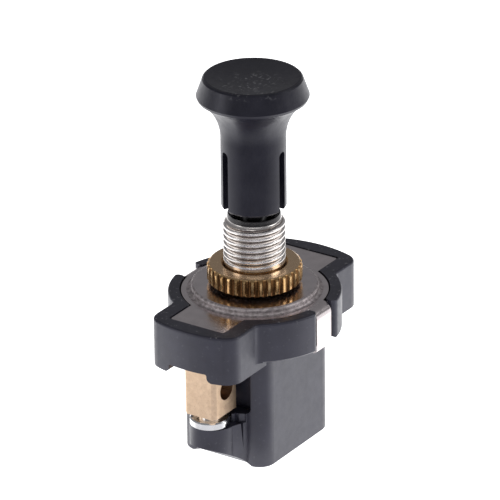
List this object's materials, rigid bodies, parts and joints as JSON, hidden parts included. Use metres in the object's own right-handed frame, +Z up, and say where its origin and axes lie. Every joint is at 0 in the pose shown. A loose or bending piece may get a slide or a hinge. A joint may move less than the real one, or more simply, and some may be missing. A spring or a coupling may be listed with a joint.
{
  "type": "push-pull switch",
  "caption": "Panel-mount push-pull switch: black mushroom knob on a threaded bushing with a knurled nut, crimped bright top plate, and screw terminals at the ends of a winged moulded body.",
  "frame": {"origin": "middle of the housing's base", "axes": "+Z up along the plunger, X through the two terminals, Y through the two crimp straps"},
  "size_m": [0.0396, 0.0272, 0.0633],
  "materials": {
    "housing_plastic": "semi-gloss moulded",
    "knob_plastic": "fine-grained moulded",
    "plate_steel": "bright plated sheet",
    "bushing_nickel": "nickel plated, turned",
    "nut_brass": "bright, reeded",
    "block_brass": "matte, tumbled",
    "screw_steel": "bright plated",
    "rod_steel": "plated, turned",
    "spring_steel": "drawn wire",
    "contact_brass": "stamped",
    "silver": "bright silver",
    "fibre": "pressed fibre sheet",
    "carrier_plastic": "moulded phenolic"
  },
  "bodies": {
    "body": {"housing": "housing_plastic", "mounting_plate": "plate_steel", "insulator_sheet": "fibre", "bushing": "bushing_nickel", "detent_spring": "spring_steel", "fixed_contact_left": "contact_brass", "fixed_contact_right": "contact_brass", "fixed_tip_left": "silver", "fixed_tip_right": "silver", "terminal_block_left": "block_brass", "terminal_block_right": "block_brass"},
    "plunger": {"knob": "knob_plastic", "plunger_rod": "rod_steel", "stop_washer": "rod_steel", "carrier": "carrier_plastic", "contact_spring": "spring_steel", "spring_washer": "rod_steel", "retaining_clip": "spring_steel"},
    "bridge": {"contact_bridge": "contact_brass", "bridge_tip_left": "silver", "bridge_tip_right": "silver"},
    "nut": {"knurled_nut": "nut_brass"},
    "screw_left": {"terminal_screw_left": "screw_steel"},
    "screw_right": {"terminal_screw_right": "screw_steel"}
  },
  "joints": [
    {"name": "knob_pull", "type": "slide", "parent": "body", "child": "plunger", "axis": [0, 0, 1], "range_m": [0, 0.007], "deforming": ["detent_spring"]},
    {"name": "bridge_float", "type": "slide", "parent": "plunger", "child": "bridge", "axis": [0, 0, 1], "range_m": [-0.001, 0], "stiffness_N_per_m": 400, "springref_m": 0.002, "deforming": ["contact_spring"]},
    {"name": "nut_turn", "type": "hinge", "parent": "body", "child": "nut", "pos_m": [0, 0, 0.0297], "axis": [0, 0, 1], "continuous": true},
    {"name": "screw_left_turn", "type": "hinge", "parent": "body", "child": "screw_left", "pos_m": [-0.0133, 0, 0.0085], "axis": [0, 0, 1], "continuous": true},
    {"name": "screw_right_turn", "type": "hinge", "parent": "body", "child": "screw_right", "pos_m": [0.0133, 0, 0.0085], "axis": [0, 0, 1], "continuous": true}
  ]
}
